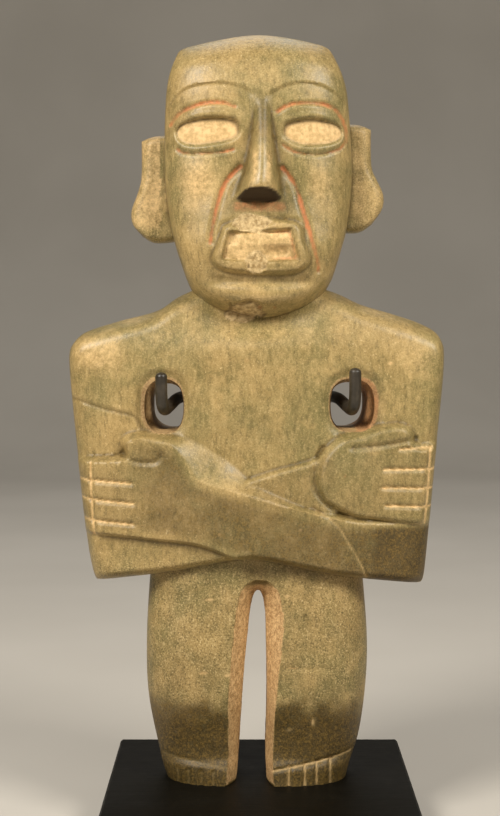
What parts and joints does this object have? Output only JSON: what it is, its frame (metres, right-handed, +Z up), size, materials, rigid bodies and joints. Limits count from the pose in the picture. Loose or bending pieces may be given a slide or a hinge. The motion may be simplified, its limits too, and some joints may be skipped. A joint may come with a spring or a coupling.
{
  "type": "anthropomorphic figurine on a stand",
  "caption": "Carved greenstone standing figure with a mask-like face and crossed arms, on a low black base with hook rods that steady it through its armpit holes.",
  "frame": {"origin": "middle of the base's underside", "axes": "+Z up through the figure, -Y the way the face looks, +X to the right of someone facing it"},
  "size_m": [0.177, 0.14, 0.3738],
  "materials": {
    "greenstone": "worn polish, mottled olive, with traces of red pigment and pale earth",
    "black_steel": "satin black paint",
    "black_wood": "satin black lacquer"
  },
  "bodies": {
    "root": {"figurine": "greenstone", "hook_rod_left": "black_steel", "hook_rod_right": "black_steel", "stand_base": "black_wood"}
  },
  "joints": []
}
